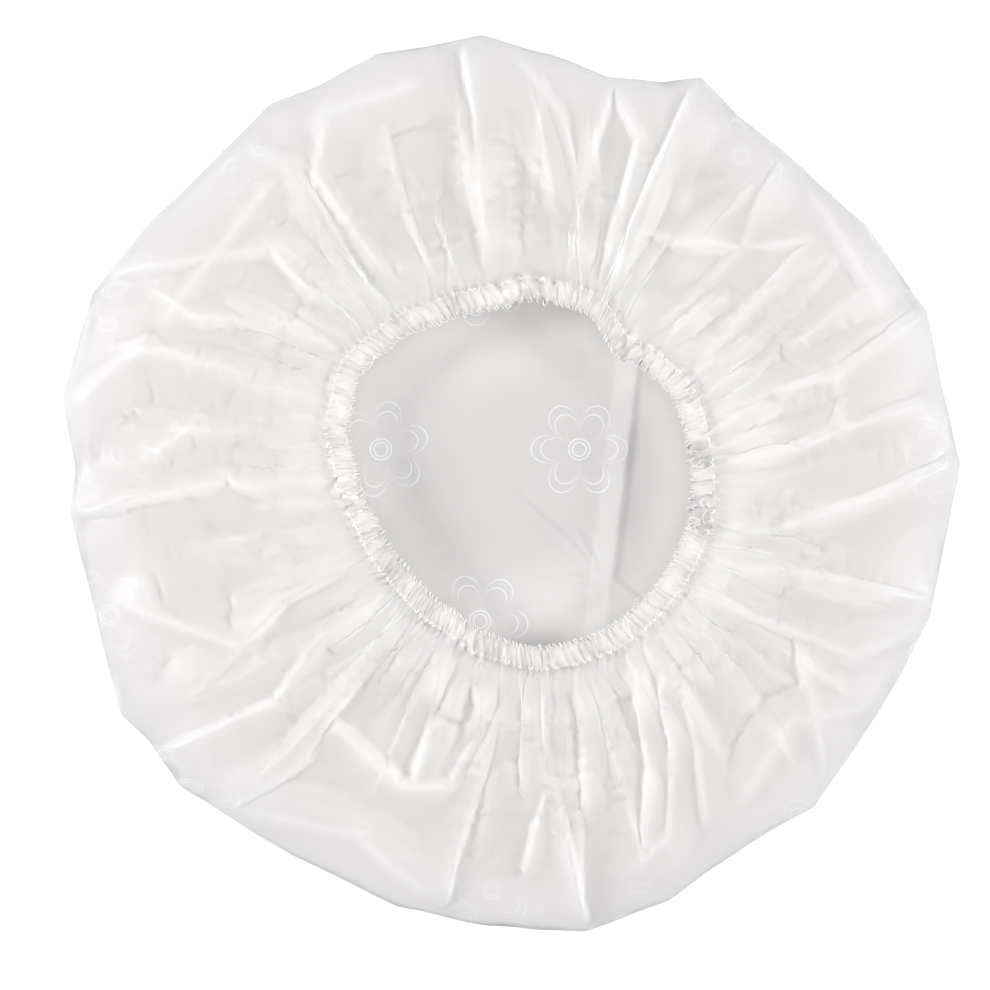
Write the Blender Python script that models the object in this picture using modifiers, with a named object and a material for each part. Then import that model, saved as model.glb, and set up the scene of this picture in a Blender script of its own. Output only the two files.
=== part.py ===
"""A gathered shower cap of thin clear film, lying on its crown with the elastic opening upward.

One disc of film makes the crown, the creased rim, the gathered skirt that comes back over the crown,
and the hem, where the film turns under and wraps a flat elastic. The cap is hollow between crown and
skirt, and the hem's raw edge is open towards that hollow. Lengths are in metres, bearings in degrees
from +X about the middle of the opening.
"""

from math import atan2, cos, degrees, exp, hypot, pi, radians, sin, sqrt

import bpy

# Sizes that can be set by themselves
RIM_RADIUS = 0.144       # middle of the opening to the creased rim
OPENING_RADIUS = 0.054   # middle of the opening to the inner edge of the hem
FILM_WALL = 0.001
RIM_ROUND = 0.0012       # half the clear height inside the crease of the rim
HEM_HEIGHT = 0.016       # surface that the cap lies on to the middle of the hem
SKIRT_PUFF = 0.006       # how far the skirt stands above a straight line from rim to hem
FOLD_HEIGHT = 0.007
GATHER_HEIGHT = 0.0024
DENT_HEIGHT = 0.0022
ELASTIC_WIDTH = 0.0055
ELASTIC_WALL = 0.001
CLEARANCE = 0.0004       # between the elastic and the film that wraps it
SEAM = 0.0008            # from the elastic's outer edge to the edge of the hem
FACET_STEP = 6.0         # degrees, about the width of two columns of the skirt

# Sizes that follow from them
HEM_SPREAD = ELASTIC_WALL + 2 * CLEARANCE + FILM_WALL      # between the middles of its two layers
ELASTIC_INSET = (FILM_WALL + HEM_SPREAD) / 2
HEM_WIDTH = ELASTIC_INSET + ELASTIC_WIDTH + SEAM
RIM_DEPTH = RIM_ROUND + FILM_WALL
CREASE_INSET = FILM_WALL / sqrt(2)                         # skin to middle at a square crease

# Corners of the creased rim, once round. Reach is a share of RIM_RADIUS.
RIM = (
    # bearing, reach
    (1.5, 0.991),
    (12, 0.969),
    (22, 0.987),
    (36, 0.958),
    (51.5, 0.940),
    (58.5, 0.941),
    (65.5, 0.980),
    (70, 0.940),
    (77.5, 0.918),
    (86, 0.949),
    (95, 0.990),
    (108.5, 0.998),
    (117, 0.983),
    (124, 1.004),
    (146.5, 1.008),
    (157, 1.045),
    (170.5, 1.038),
    (179, 0.998),
    (185, 1.015),
    (211, 1.044),
    (215.5, 1.027),
    (222.5, 1.036),
    (239, 0.994),
    (254, 1.009),
    (266, 1.016),
    (278, 1.037),
    (289.5, 1.012),
    (301, 0.976),
    (311.5, 0.995),
    (326.5, 0.968),
    (341, 0.977),
)

# The hem's inner edge, once round. Reach is a share of OPENING_RADIUS, lift one of HEM_HEIGHT.
OPENING = (
    # bearing, reach, lift
    (6, 1.014, 0.98),
    (26, 1.018, 1.02),
    (40, 0.975, 1.03),
    (51, 0.914, 1.05),
    (69, 1.040, 1.10),
    (88, 1.038, 1.14),
    (98, 1.001, 1.14),
    (114, 1.015, 1.08),
    (134, 1.085, 0.97),
    (147, 1.125, 0.93),
    (162, 1.072, 0.92),
    (181, 0.971, 0.95),
    (200, 0.891, 0.98),
    (220, 0.872, 1.00),
    (243, 0.901, 1.03),
    (257, 0.966, 1.02),
    (279, 1.038, 0.97),
    (300, 1.054, 0.92),
    (324, 1.045, 0.90),
    (346, 1.040, 0.94),
)

# The main folds of the skirt. A fold runs from at_hem to at_rim, two bearings, between the shares
# inner and outer of the way from rim to hem. Height is a share of FOLD_HEIGHT. Before and after are
# the degrees from its ridge to its two feet, so the narrower side is the steeper one.
FOLDS = (
    # at_hem, at_rim, inner, outer, height, before, after
    (101, 97, 0.98, 0.04, 0.80, 4, 7),
    (80, 94, 0.98, 0.02, 0.90, 4, 8),
    (71, 78, 0.96, 0.08, 0.45, 5, 6),
    (63, 67, 0.98, 0.08, 1.00, 8, 4),
    (54, 50, 0.92, 0.02, 0.70, 8, 6),
    (40, 44, 0.90, 0.50, 0.80, 7, 5),
    (24, 36, 0.98, 0.08, 1.00, 9, 5),
    (14, 24, 0.95, 0.02, 0.60, 6, 7),
    (4, 15, 0.98, 0.45, 0.90, 7, 6),
    (344, 3, 0.96, 0.02, 0.85, 8, 5),
    (337, 341, 0.98, 0.02, 1.00, 5, 5),
    (328, 313, 0.95, 0.03, 0.85, 5, 8),
    (314, 301, 0.96, 0.20, 0.80, 6, 4),
    (303, 296, 0.98, 0.18, 1.00, 5, 6),
    (292, 288, 0.98, 0.18, 0.80, 4, 6),
    (280, 278, 0.98, 0.00, 1.00, 4, 5),
    (267, 262, 0.98, 0.06, 0.90, 5, 4),
    (256, 251, 0.96, 0.40, 0.80, 5, 4),
    (243, 247, 0.96, 0.25, 0.75, 6, 4),
    (231, 229, 0.97, 0.06, 1.00, 5, 7),
    (221, 211, 0.97, 0.02, 0.95, 8, 4),
    (208, 200, 0.95, 0.35, 0.60, 7, 6),
    (194, 188, 0.95, 0.30, 0.60, 8, 6),
    (179, 185, 0.97, 0.02, 0.75, 6, 5),
    (169, 171, 0.97, 0.04, 0.85, 5, 5),
    (156, 166, 0.97, 0.05, 0.90, 5, 8),
    (143, 149, 0.98, 0.28, 1.00, 4, 6),
    (133, 135, 0.98, 0.30, 0.85, 4, 4),
    (124, 122, 0.98, 0.15, 1.00, 7, 4),
    (111, 112, 0.98, 0.40, 0.80, 6, 5),
)

# Soft ridges of the crown under the opening. Places are shares of OPENING_RADIUS from its middle.
DENTS = (
    # from_x, from_y, to_x, to_y, height, width
    (-0.75, 0.48, 0.52, -0.66, 1.00, 0.14),
    (0.72, 0.50, 0.56, -0.66, 0.90, 0.14),
    (-0.20, -0.80, 0.50, -0.70, 0.70, 0.12),
)

# Rows of the mesh: shares of the reach on the crown, and of the way from rim to hem on the skirt
CROWN_ROWS = (0.10, 0.20, 0.30, 0.42, 0.66)
CROWN_EDGE = 0.93
SKIRT_ROWS = (0.08, 0.19, 0.32, 0.46, 0.60, 0.73, 0.84, 0.93)


def ease(share):
    """0 to 1 with level ends, held at either end outside that range."""
    share = min(max(share, 0.0), 1.0)
    return share * share * (3 - 2 * share)


def turn_between(start, end):
    """The shorter turn from one bearing to another, in degrees, positive towards +Y from +X."""
    return (end - start + 180) % 360 - 180


def opening_at(bearing):
    """Reach and height of the hem's inner edge at a bearing, eased between the rows of OPENING."""
    for row, following in zip(OPENING, OPENING[1:] + OPENING[:1]):
        span = (following[0] - row[0]) % 360
        past = (bearing - row[0]) % 360
        if past < span:
            share = ease(past / span)
            reach = row[1] + (following[1] - row[1]) * share
            lift = row[2] + (following[2] - row[2]) * share
            return reach * OPENING_RADIUS, lift * HEM_HEIGHT


def rim_columns():
    """Bearing and reach of every column: the rim's corners, and an odd number between each two."""
    columns = []
    for (bearing, reach), (next_bearing, next_reach) in zip(RIM, RIM[1:] + RIM[:1]):
        start = (reach * cos(radians(bearing)), reach * sin(radians(bearing)))
        end = (next_reach * cos(radians(next_bearing)), next_reach * sin(radians(next_bearing)))
        count = 2 * max(1, round(turn_between(bearing, next_bearing) / FACET_STEP))
        for step in range(count):
            x = start[0] + (end[0] - start[0]) * step / count
            y = start[1] + (end[1] - start[1]) * step / count
            columns.append((degrees(atan2(y, x)), hypot(x, y) * RIM_RADIUS))
    return columns


def dent_height(x, y):
    """How far the crown is lifted at a point measured from the middle of the opening."""
    lift = 0.0
    for from_x, from_y, to_x, to_y, height, width in DENTS:
        along_x, along_y = to_x - from_x, to_y - from_y
        off_x, off_y = x / OPENING_RADIUS - from_x, y / OPENING_RADIUS - from_y
        share = (off_x * along_x + off_y * along_y) / (along_x**2 + along_y**2)
        share = min(max(share, 0.0), 1.0)
        away = hypot(off_x - along_x * share, off_y - along_y * share) / width
        lift = max(lift, height * DENT_HEIGHT * exp(-(away**2)))
    return lift


def fold_height(bearing, share):
    """Height of the main folds above the skirt, at a share of the way from rim to hem."""
    lift = 0.0
    for at_hem, at_rim, inner, outer, height, before, after in FOLDS:
        along = (share - outer) / (inner - outer)
        if 0 < along < 1:
            ridge = at_rim + turn_between(at_rim, at_hem) * along
            past = turn_between(ridge, bearing)
            slope = 1 - max(past / after, -past / before)
            ends = min(1.0, along / 0.35, (1 - along) / 0.12)
            lift = max(lift, height * FOLD_HEIGHT * ends * slope)
    return lift


COLUMNS = rim_columns()
EDGE_X = [reach * cos(radians(bearing)) for bearing, reach in COLUMNS]
EDGE_Y = [reach * sin(radians(bearing)) for bearing, reach in COLUMNS]
# The cap is centred on its outline, so the opening's middle lies a little off the origin
OPENING_X = -(min(EDGE_X) + max(EDGE_X)) / 2
OPENING_Y = -(min(EDGE_Y) + max(EDGE_Y)) / 2


def place(bearing, distance, height):
    """A point at a bearing and a distance from the middle of the opening."""
    x = OPENING_X + distance * cos(radians(bearing))
    y = OPENING_Y + distance * sin(radians(bearing))
    return x, y, height


def crown_ring(share, columns):
    """The crown at a share of each column's reach, with its dents."""
    ring = []
    for bearing, reach in columns:
        distance = share * reach
        dent = dent_height(distance * cos(radians(bearing)), distance * sin(radians(bearing)))
        ring.append(place(bearing, distance, FILM_WALL / 2 + dent))
    return ring


def rim_rings():
    """The crease of the rim: its lower shoulder, its edge and its upper shoulder."""
    lower = [place(b, reach - RIM_DEPTH, FILM_WALL / 2) for b, reach in COLUMNS]
    edge = [place(b, reach - CREASE_INSET, RIM_DEPTH) for b, reach in COLUMNS]
    upper = [place(b, reach - RIM_DEPTH, 2 * RIM_DEPTH - FILM_WALL / 2) for b, reach in COLUMNS]
    return [lower, edge, upper]


def skirt_ring(share):
    """The skirt at a share of the way from rim to hem, with its folds and its gathers."""
    ring = []
    rim_level = 2 * RIM_DEPTH - FILM_WALL / 2
    for number, (bearing, reach) in enumerate(COLUMNS):
        opening, hem_level = opening_at(bearing)
        start, end = reach - RIM_DEPTH, opening + HEM_WIDTH
        distance = start + (end - start) * share
        level = rim_level + (hem_level + HEM_SPREAD / 2 - rim_level) * share
        level += SKIRT_PUFF * sin(pi * share)
        level += fold_height(bearing, share)
        level += GATHER_HEIGHT * (number % 2) * ease((share - 0.4) / 0.5)
        ring.append(place(bearing, distance, level))
    return ring


def hem_rings():
    """The hem from its outer edge over the elastic, round the inner edge and back under it."""
    rings = []
    turn = HEM_SPREAD / 2
    sections = [(HEM_WIDTH, turn, 0.5)]
    for angle, gather in ((90, 0.4), (30, 0.2), (-30, 0.0), (-90, 0.0)):
        inset = ELASTIC_INSET - turn * cos(radians(angle))
        sections.append((inset, turn * sin(radians(angle)), gather))
    sections.append((HEM_WIDTH, -turn, 0.0))
    for inset, height, gather in sections:
        ring = []
        for number, (bearing, reach) in enumerate(COLUMNS):
            opening, level = opening_at(bearing)
            lift = GATHER_HEIGHT * gather * (number % 2)
            ring.append(place(bearing, opening + inset, level + height + lift))
        rings.append(ring)
    return rings


def lofted_surface(name, rings, middle=None):
    """An open surface through rings of points, closed at the first one where a middle is given.

    A ring may have twice as many points as the one before it.
    """
    points = [point for ring in rings for point in ring]
    numbers, faces, first = [], [], 0
    for ring in rings:
        numbers.append(range(first, first + len(ring)))
        first += len(ring)
    for ring, following in zip(numbers, numbers[1:]):
        step = len(following) // len(ring)
        for index in range(len(ring)):
            far = [following[(index * step + extra) % len(following)] for extra in range(step + 1)]
            faces.append([ring[index], *far, ring[(index + 1) % len(ring)]])
    if middle is not None:
        points.append(middle)
        inner = numbers[0]
        for index in range(len(inner)):
            faces.append([first, inner[index], inner[(index + 1) % len(inner)]])
    mesh = bpy.data.meshes.new(name)
    mesh.from_pydata(points, [], faces)
    mesh.validate()
    return bpy.data.objects.new(name, mesh)


def thicken(piece, wall):
    """Gives an open surface its wall, half on either side."""
    solidify = piece.modifiers.new("wall", "SOLIDIFY")
    solidify.thickness = wall
    solidify.offset = 0
    solidify.use_even_offset = True


def finish_with(piece, name, colour, roughness, alpha=1.0):
    """A plain material of the piece's own."""
    material = bpy.data.materials.new(name)
    material.use_nodes = True
    shader = material.node_tree.nodes["Principled BSDF"]
    shader.inputs["Base Color"].default_value = (*colour, 1)
    shader.inputs["Roughness"].default_value = roughness
    shader.inputs["Metallic"].default_value = 0
    shader.inputs["Alpha"].default_value = alpha
    piece.data.materials.append(material)


for leftover in list(bpy.data.objects):
    bpy.data.objects.remove(leftover, do_unlink=True)
cap = bpy.data.collections.new("shower_cap")
bpy.context.scene.collection.children.link(cap)

# The film: crown, rim, skirt and hem in one
crown_rings = [crown_ring(share, COLUMNS[::2]) for share in CROWN_ROWS]
skirt_rings = [skirt_ring(share) for share in SKIRT_ROWS]
film = lofted_surface(
    "film_cap",
    [*crown_rings, crown_ring(CROWN_EDGE, COLUMNS), *rim_rings(), *skirt_rings, *hem_rings()],
    middle=place(0, 0, FILM_WALL / 2 + dent_height(0, 0)),
)
thicken(film, FILM_WALL)
finish_with(film, "clear film", (0.88, 0.88, 0.87), 0.35, alpha=0.85)
cap.objects.link(film)

# The elastic: a flat strip inside the hem, once round the opening
elastic_rings = []
for inset in (ELASTIC_INSET, ELASTIC_INSET + ELASTIC_WIDTH):
    ring = []
    for bearing, reach in COLUMNS:
        opening, level = opening_at(bearing)
        ring.append(place(bearing, opening + inset, level))
    elastic_rings.append(ring)
elastic = lofted_surface("elastic_band", elastic_rings)
thicken(elastic, ELASTIC_WALL)
finish_with(elastic, "woven elastic", (0.86, 0.85, 0.83), 0.8)
cap.objects.link(elastic)
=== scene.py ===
"""A gathered shower cap of frosted film, lying on its crown with the elastic mouth upward.

The film comes first, then the elastic in its hem, the thread that holds them, the table, the light
and the camera. Lengths are in metres and bearings in degrees from +X about the middle of the mouth.
"""

import bpy
import numpy as np
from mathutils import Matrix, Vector


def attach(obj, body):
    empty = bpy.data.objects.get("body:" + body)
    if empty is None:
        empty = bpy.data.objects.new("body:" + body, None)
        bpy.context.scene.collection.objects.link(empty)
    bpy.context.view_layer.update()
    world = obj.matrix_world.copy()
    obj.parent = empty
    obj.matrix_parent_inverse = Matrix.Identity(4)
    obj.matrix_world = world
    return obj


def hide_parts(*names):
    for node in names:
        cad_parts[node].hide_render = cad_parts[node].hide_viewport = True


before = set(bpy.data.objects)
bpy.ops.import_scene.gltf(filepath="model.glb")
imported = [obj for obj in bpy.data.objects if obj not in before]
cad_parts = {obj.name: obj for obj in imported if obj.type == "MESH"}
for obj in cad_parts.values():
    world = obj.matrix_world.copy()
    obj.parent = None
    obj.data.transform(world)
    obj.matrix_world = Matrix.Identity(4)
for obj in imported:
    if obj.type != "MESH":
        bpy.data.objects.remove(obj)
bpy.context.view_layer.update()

# The film. One disc of frosted film 0.04 mm thick, cut about 50 cm across, is creased round a flat
# crown and drawn in by the elastic. What the mouth can't hold of it lies in long folds and gathers.

RIM_RADIUS = 0.144
OPENING_RADIUS = 0.0535
HEM_WIDTH = 0.0068
HEM_HEIGHT = 0.016
HEM_SPREAD = 0.0028          # between the two layers of the hem
ELASTIC_INSET = 0.0014       # hem's inner edge to the elastic
CREASE = 0.0015              # half the height of the crease at the rim
SLACK = 1.10                 # film between rim and hem, over the straight way
TOO_FINE = 0.33              # share of its width at the hem in wrinkles finer than this mesh
GATHERS = 150                # pleats of the hem, once round
TALLEST_GATHER = 0.0022      # on the skirt
COLUMNS, SKIRT_ROWS = 960, 53
MIDDLE = np.array((0.00238, 0.00293, 0.0))   # of the mouth, from the middle of the outline

# Corners of the rim: bearing, share of RIM_RADIUS
RIM = np.array((
    (1.5, 0.991), (12, 0.969), (22, 0.987), (36, 0.958), (51.5, 0.940), (58.5, 0.941), (65.5, 0.980),
    (70, 0.940), (77.5, 0.918), (86, 0.949), (95, 0.990), (108.5, 0.998), (117, 0.983), (124, 1.004),
    (146.5, 1.008), (157, 1.045), (170.5, 1.038), (179, 0.998), (185, 1.015), (211, 1.044),
    (215.5, 1.027), (222.5, 1.036), (239, 0.994), (254, 1.009), (266, 1.016), (278, 1.037),
    (289.5, 1.012), (301, 0.976), (311.5, 0.995), (326.5, 0.968), (341, 0.977),
))
# The mouth: bearing, share of OPENING_RADIUS, share of HEM_HEIGHT
OPENING = np.array((
    (6, 1.014, 0.98), (26, 1.018, 1.02), (40, 0.975, 1.03), (51, 0.914, 1.05), (69, 1.040, 1.10),
    (88, 1.038, 1.14), (98, 1.001, 1.14), (114, 1.015, 1.08), (134, 1.085, 0.97), (147, 1.125, 0.93),
    (162, 1.072, 0.92), (181, 0.971, 0.95), (200, 0.891, 0.98), (220, 0.872, 1.00), (243, 0.901, 1.03),
    (257, 0.966, 1.02), (279, 1.038, 0.97), (300, 1.054, 0.92), (324, 1.045, 0.90), (346, 1.040, 0.94),
))
# Folds: bearing at rim and hem, share of the way where it starts, millimetres of film up each side
# near the rim, halfway and at the hem, and the side that it lies over to
FOLDS = np.array((
    (1, -14, 0.02, 3, 6, 5, 1), (4, -9, 0.50, 0, 4, 5, -1), (7, -3, 0.25, 2, 6, 5, 1),
    (11, 2, 0.55, 0, 4, 4, -1), (15, 7, 0.40, 1, 5, 5, 1), (20, 12, 0.55, 0, 4, 5, -1),
    (24, 17, 0.02, 3, 6, 5, -1), (30, 23, 0.60, 0, 4, 5, 1), (36, 29, 0.08, 3, 6, 5, 1),
    (40, 35, 0.60, 0, 4, 5, -1), (44, 42, 0.42, 0, 5, 5, 1), (47.5, 48, 0.55, 0, 4, 5, 1),
    (51, 54, 0.02, 3, 6, 5, -1), (58, 59, 0.50, 0, 4, 5, -1), (67, 63, 0.08, 2, 6, 5, 1),
    (75, 67, 0.50, 0, 4, 4, 1), (81, 71, 0.10, 3, 6, 5, -1), (86, 75, 0.55, 0, 4, 4, 1),
    (90, 79, 0.02, 3, 6, 5, 1), (93, 85, 0.50, 0, 4, 5, -1), (96, 92, 0.45, 0, 4, 5, 1),
    (99.5, 99, 0.02, 3, 6, 5, 1), (104, 105, 0.50, 0, 4, 5, -1), (110, 112, 0.40, 1, 5, 5, 1),
    (116, 118, 0.55, 0, 4, 5, 1), (122, 125, 0.15, 2, 6, 5, -1), (129, 130, 0.45, 0, 4, 5, -1),
    (136, 135, 0.30, 1, 6, 5, 1), (142, 140, 0.50, 0, 4, 5, 1), (149, 146, 0.28, 2, 6, 5, -1),
    (156, 151, 0.50, 0, 4, 5, -1), (163, 157, 0.05, 3, 6, 5, 1), (167, 163, 0.55, 0, 4, 4, 1),
    (171, 169, 0.04, 3, 6, 5, -1), (177, 175, 0.50, 0, 4, 5, -1), (184, 181, 0.02, 4, 6, 5, 1),
    (187.5, 188, 0.55, 0, 4, 4, 1), (191, 195, 0.30, 1, 5, 5, -1), (195.5, 201, 0.60, 0, 4, 5, -1),
    (200, 208, 0.35, 1, 5, 5, 1), (206, 214.5, 0.50, 0, 4, 5, 1), (212, 221, 0.02, 3, 6, 5, -1),
    (220, 227, 0.55, 0, 4, 5, -1), (229, 233, 0.06, 3, 6, 5, 1), (237, 240, 0.50, 0, 4, 5, 1),
    (245, 246, 0.25, 1, 6, 5, -1), (251, 256, 0.40, 1, 5, 5, 1), (256.5, 262, 0.55, 0, 4, 5, -1),
    (262, 268, 0.06, 3, 6, 5, -1), (271, 274, 0.35, 0, 5, 5, 1), (278, 280, 0.00, 4, 7, 6, 1),
    (283, 285, 0.40, 0, 5, 5, -1), (288, 290, 0.18, 1, 6, 5, -1), (292, 294.5, 0.50, 0, 4, 4, -1),
    (296, 299, 0.15, 2, 6, 5, 1), (303, 308, 0.20, 2, 6, 5, 1), (308, 312.5, 0.50, 0, 4, 4, -1),
    (312, 317, 0.03, 3, 6, 5, -1), (319, 322, 0.50, 0, 4, 5, 1), (326, 327, 0.03, 3, 6, 5, 1),
    (334, 332, 0.50, 0, 4, 5, -1), (341, 337, 0.02, 4, 6, 5, -1), (351, 342, 0.50, 0, 4, 5, -1),
))
LEAN = 30                    # degrees that the broad side of a fold stands up
STEEP_SIDE = 0.36            # width of a fold's steep side, as a share of its film
SPREAD_FROM, SPREAD_OVER = 0.82, 0.18   # shares of the way to the hem, where folds spread out
CREASE_RISE = 0.0015         # of a crease, for each unit of its height
# Creases, where the film lies in flat pleats: height in units of CREASE_RISE, millimetres wide to the
# left and right of the run, then points of the run in shares of RIM_RADIUS from the mouth's middle
CREASES = (
    (2.6, 14, 1.6, (-0.12, 0.96), (-0.09, 0.73), (-0.07, 0.41)),
    (2.2, 1.6, 15, (-0.02, 0.95), (0.09, 0.80), (0.12, 0.68), (0.14, 0.48)),
    (2.2, 1.6, 11, (0.21, 0.87), (0.16, 0.73), (0.11, 0.46)),
    (2.2, 11, 1.6, (0.21, 0.87), (0.27, 0.75), (0.20, 0.50)),
    (2.6, 13, 2.0, (0.40, 0.87), (0.30, 0.68), (0.22, 0.50), (0.21, 0.37)),
    (2.4, 11, 1.6, (0.60, 0.72), (0.49, 0.50), (0.31, 0.33)),
    (2.2, 9, 2.0, (0.27, 0.53), (0.49, 0.50), (0.63, 0.52)),
    (2.4, 12, 1.6, (0.63, 0.50), (0.47, 0.33), (0.38, 0.22)),
    (2.8, 15, 2.0, (0.91, 0.37), (0.70, 0.22), (0.55, 0.18), (0.41, 0.12)),
    (1.6, 7, 1.6, (0.70, 0.22), (0.71, 0.10)),
    (1.8, 10, 1.6, (0.88, 0.16), (0.62, 0.06), (0.44, 0.03)),
    (2.6, 15, 1.6, (0.99, 0.04), (0.76, -0.06), (0.56, -0.12), (0.45, -0.13)),
    (2.2, 1.6, 13, (0.40, -0.19), (0.58, -0.21), (0.92, -0.28)),
    (2.2, 13, 1.6, (0.38, -0.26), (0.56, -0.33), (0.74, -0.40), (0.90, -0.33)),
    (1.8, 11, 2.0, (0.63, -0.41), (0.69, -0.71)),
    (2.4, 10, 1.4, (0.36, -0.48), (0.39, -0.60), (0.41, -0.75)),
    (2.6, 9, 1.4, (0.31, -0.48), (0.34, -0.60), (0.33, -0.80), (0.27, -0.85)),
    (2.6, 9, 1.4, (0.25, -0.41), (0.27, -0.54), (0.29, -0.66), (0.27, -0.85)),
    (2.6, 1.4, 9, (0.16, -0.44), (0.21, -0.63), (0.27, -0.85)),
    (2.4, 8, 1.4, (0.13, -0.45), (0.14, -0.58), (0.15, -0.72)),
    (3.2, 1.4, 10, (0.06, -0.44), (0.06, -0.60), (0.09, -0.74), (0.15, -1.02)),
    (2.2, 9, 1.6, (0.04, -0.56), (0.06, -0.68), (0.02, -0.86)),
    (2.6, 1.6, 12, (-0.05, -0.55), (-0.09, -0.67), (-0.14, -0.83), (-0.17, -0.95)),
    (1.8, 2.0, 8, (-0.05, -0.55), (0.04, -0.57)),
    (2.4, 9, 1.6, (-0.10, -0.41), (-0.09, -0.57), (-0.16, -0.69)),
    (2.4, 8, 2.0, (-0.16, -0.69), (-0.27, -0.69), (-0.39, -0.57)),
    (2.2, 9, 1.6, (-0.18, -0.41), (-0.19, -0.52), (-0.23, -0.66)),
    (2.6, 1.6, 14, (-0.26, -0.30), (-0.38, -0.48), (-0.49, -0.64), (-0.64, -0.74)),
    (2.4, 14, 1.6, (-0.30, -0.25), (-0.45, -0.37), (-0.54, -0.50), (-0.78, -0.61)),
    (2.2, 1.6, 12, (-0.36, -0.19), (-0.52, -0.28), (-0.72, -0.48)),
    (2.6, 2.0, 15, (-0.39, -0.08), (-0.52, -0.06), (-0.64, -0.01), (-0.99, -0.09)),
    (2.2, 9, 2.0, (-0.40, 0.06), (-0.58, 0.10), (-0.74, 0.10), (-0.80, 0.06)),
    (2.6, 15, 1.6, (-0.40, 0.15), (-0.63, 0.23), (-0.85, 0.28), (-1.01, 0.16)),
    (2.2, 2.0, 10, (-0.38, 0.23), (-0.52, 0.33), (-0.72, 0.35), (-0.78, 0.39)),
    (2.4, 1.6, 12, (-0.34, 0.30), (-0.47, 0.41), (-0.55, 0.50), (-0.90, 0.45)),
    (2.2, 11, 1.6, (-0.30, 0.36), (-0.40, 0.53), (-0.49, 0.67)),
    (2.2, 1.6, 11, (-0.25, 0.38), (-0.36, 0.53), (-0.45, 0.66), (-0.43, 0.80), (-0.25, 0.86)),
    (2.0, 9, 1.6, (-0.18, 0.39), (-0.22, 0.50), (-0.27, 0.64), (-0.30, 0.76)),
    (1.8, 9, 2.0, (-0.49, 0.69), (-0.61, 0.73), (-0.80, 0.56)),
    (1.6, 9, 3.0, (-0.56, 0.64), (-0.76, 0.38)),
    (1.6, 11, 2.0, (-0.86, -0.30), (-0.62, -0.38), (-0.50, -0.22)),
    (1.8, 11, 2.0, (-0.60, -0.75), (-0.36, -0.80), (-0.22, -0.92)),
    (1.8, 9, 2.0, (0.50, -0.70), (0.60, -0.55), (0.86, -0.50)),
    (1.8, 9, 2.0, (0.60, 0.72), (0.78, 0.42), (0.62, 0.30)),
    (1.6, 9, 1.6, (0.03, 0.62), (0.05, 0.86)),
)


def ease(share):
    """0 to 1 with level ends, held outside that range."""
    share = np.clip(share, 0, 1)
    return share * share * (3 - 2 * share)


def turn_to(bearings, start):
    """The shorter turn from a start to each bearing."""
    return (bearings - start + 180) % 360 - 180


def mouth_at(bearings, column):
    """A column of OPENING at any bearing, eased between its rows."""
    known = np.append(OPENING[:, 0], OPENING[0, 0] + 360)
    values = np.append(OPENING[:, column], OPENING[0, column])
    past = (bearings - known[0]) % 360 + known[0]
    at = np.clip(np.searchsorted(known, past, side="right") - 1, 0, len(OPENING) - 1)
    share = ease((past - known[at]) / (known[at + 1] - known[at]))
    return values[at] + (values[at + 1] - values[at]) * share


def rim_at(bearings):
    """Reach of the rim, which runs straight from corner to corner."""
    known = np.append(RIM[:, 0], RIM[0, 0] + 360)
    reach = np.append(RIM[:, 1], RIM[0, 1]) * RIM_RADIUS
    corner = reach[:, None] * np.stack([np.cos(np.radians(known)), np.sin(np.radians(known))], 1)
    past = (bearings - known[0]) % 360 + known[0]
    at = np.clip(np.searchsorted(known, past, side="right") - 1, 0, len(RIM) - 1)
    side = corner[at + 1] - corner[at]
    x, y = np.cos(np.radians(bearings)), np.sin(np.radians(bearings))
    return (corner[at, 0] * side[:, 1] - corner[at, 1] * side[:, 0]) / (x * side[:, 1] - y * side[:, 0])


def ripple(bearings, seed, counts):
    """A smooth irregular run from -1 to 1 round the circle."""
    phases = np.random.default_rng(seed).uniform(0, 2 * np.pi, len(counts))
    waves = [np.sin(np.radians(bearings) * count + phase) for count, phase in zip(counts, phases)]
    return sum(waves) / len(counts)


def polar(reach, bearings, height):
    """Points round the middle of the mouth."""
    turn = np.radians(bearings) + 0 * reach
    return np.stack([reach * np.cos(turn), reach * np.sin(turn), height + 0 * turn], -1)


column = np.arange(COLUMNS) * 360 / COLUMNS
reach = rim_at(column) - CREASE / 2
edge = mouth_at(column, 1) * OPENING_RADIUS + HEM_WIDTH
share = np.linspace(0, 1, SKIRT_ROWS)
down = (reach - edge) * SLACK / (SKIRT_ROWS - 1)
on_disc = reach + down * np.arange(SKIRT_ROWS)[:, None]
far_down = ease((share[:, None] - 0.72) / 0.28)
across = on_disc * np.radians(360 / COLUMNS) * (1 - TOO_FINE * far_down)


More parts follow.
